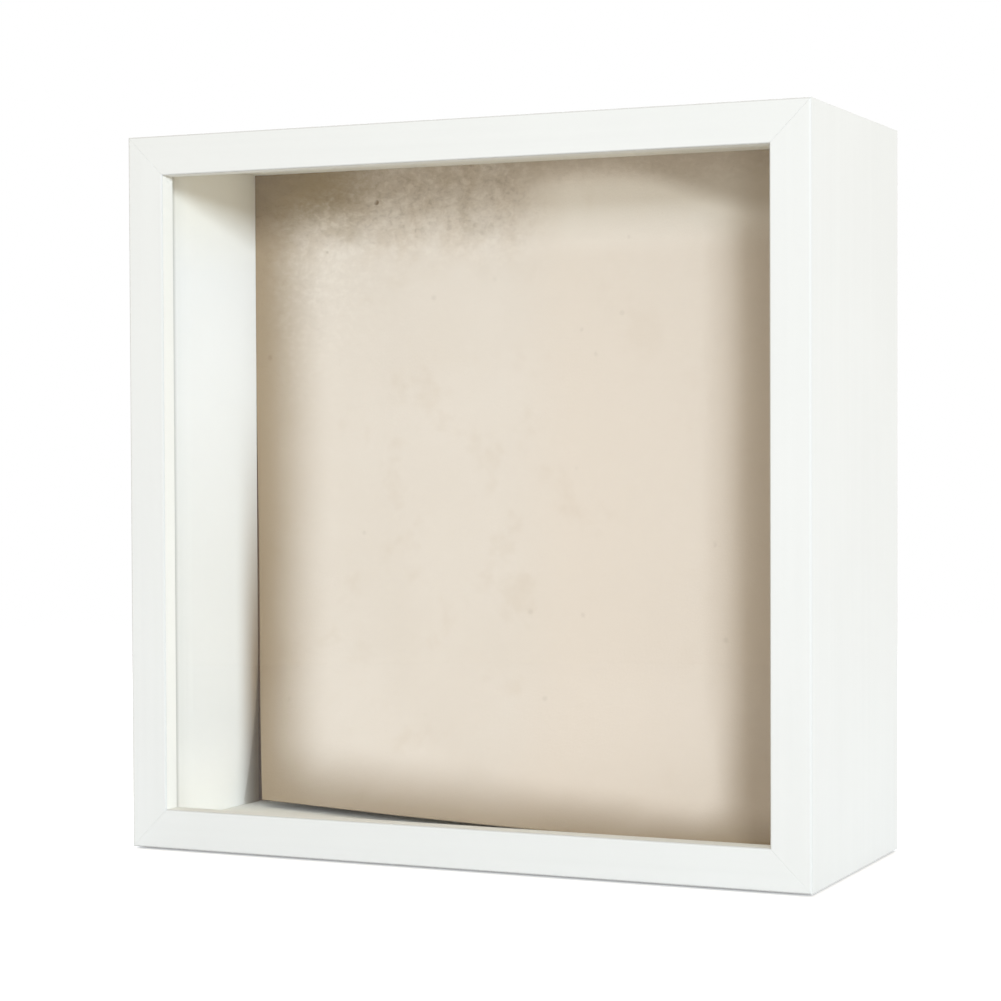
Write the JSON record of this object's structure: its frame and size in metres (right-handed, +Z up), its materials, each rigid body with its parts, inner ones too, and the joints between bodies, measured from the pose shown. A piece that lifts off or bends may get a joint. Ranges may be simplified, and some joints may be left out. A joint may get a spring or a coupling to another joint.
{
  "type": "shadow box frame",
  "caption": "Deep square shadow box picture frame: mitred white rails round a glazed display space with a beige backdrop, closed by a removable back that turn clips lock.",
  "frame": {"origin": "on the base, under the middle of the box", "axes": "+Z up, +X to the right seen from the front, front face looks along -Y"},
  "size_m": [0.127, 0.0508, 0.127],
  "materials": {
    "white_lacquer": "satin white lacquer",
    "white_card": "matte white faced strip",
    "clear_glass": "clear float glass",
    "beige_paper": "mottled parchment paper",
    "grey_board": "raw grey board",
    "hardboard": "raw hardboard",
    "plated_steel": "zinc plated",
    "brass_plate": "brass plated"
  },
  "bodies": {
    "frame": {"rail_bottom": "white_lacquer", "rail_left": "white_lacquer", "rail_top": "white_lacquer", "rail_right": "white_lacquer", "liner_bottom": "white_card", "liner_left": "white_card", "liner_top": "white_card", "liner_right": "white_card", "glass_pane": "clear_glass"},
    "back": {"backdrop_sheet": "beige_paper", "display_board": "grey_board", "back_panel": "hardboard", "sawtooth_hanger": "brass_plate", "clip_rivet_upper_left": "plated_steel", "clip_rivet_upper_right": "plated_steel", "clip_rivet_lower_left": "plated_steel", "clip_rivet_lower_right": "plated_steel", "hanger_rivet_left": "plated_steel", "hanger_rivet_right": "plated_steel"},
    "clip_upper_left": {"turn_clip_upper_left": "plated_steel"},
    "clip_upper_right": {"turn_clip_upper_right": "plated_steel"},
    "clip_lower_left": {"turn_clip_lower_left": "plated_steel"},
    "clip_lower_right": {"turn_clip_lower_right": "plated_steel"}
  },
  "joints": [
    {"name": "back_slide", "type": "slide", "parent": "frame", "child": "back", "axis": [0, 1, 0], "range_m": [0, 0.08]},
    {"name": "clip_upper_left_turn", "type": "hinge", "parent": "back", "child": "clip_upper_left", "pos_m": [-0.0467, 0.02065, 0.0935], "axis": [0, 1, 0], "range_deg": [0, 90]},
    {"name": "clip_upper_right_turn", "type": "hinge", "parent": "back", "child": "clip_upper_right", "pos_m": [0.0467, 0.02065, 0.0935], "axis": [0, -1, 0], "range_deg": [0, 90]},
    {"name": "clip_lower_left_turn", "type": "hinge", "parent": "back", "child": "clip_lower_left", "pos_m": [-0.0467, 0.02065, 0.0335], "axis": [0, 1, 0], "range_deg": [0, 90]},
    {"name": "clip_lower_right_turn", "type": "hinge", "parent": "back", "child": "clip_lower_right", "pos_m": [0.0467, 0.02065, 0.0335], "axis": [0, -1, 0], "range_deg": [0, 90]}
  ]
}
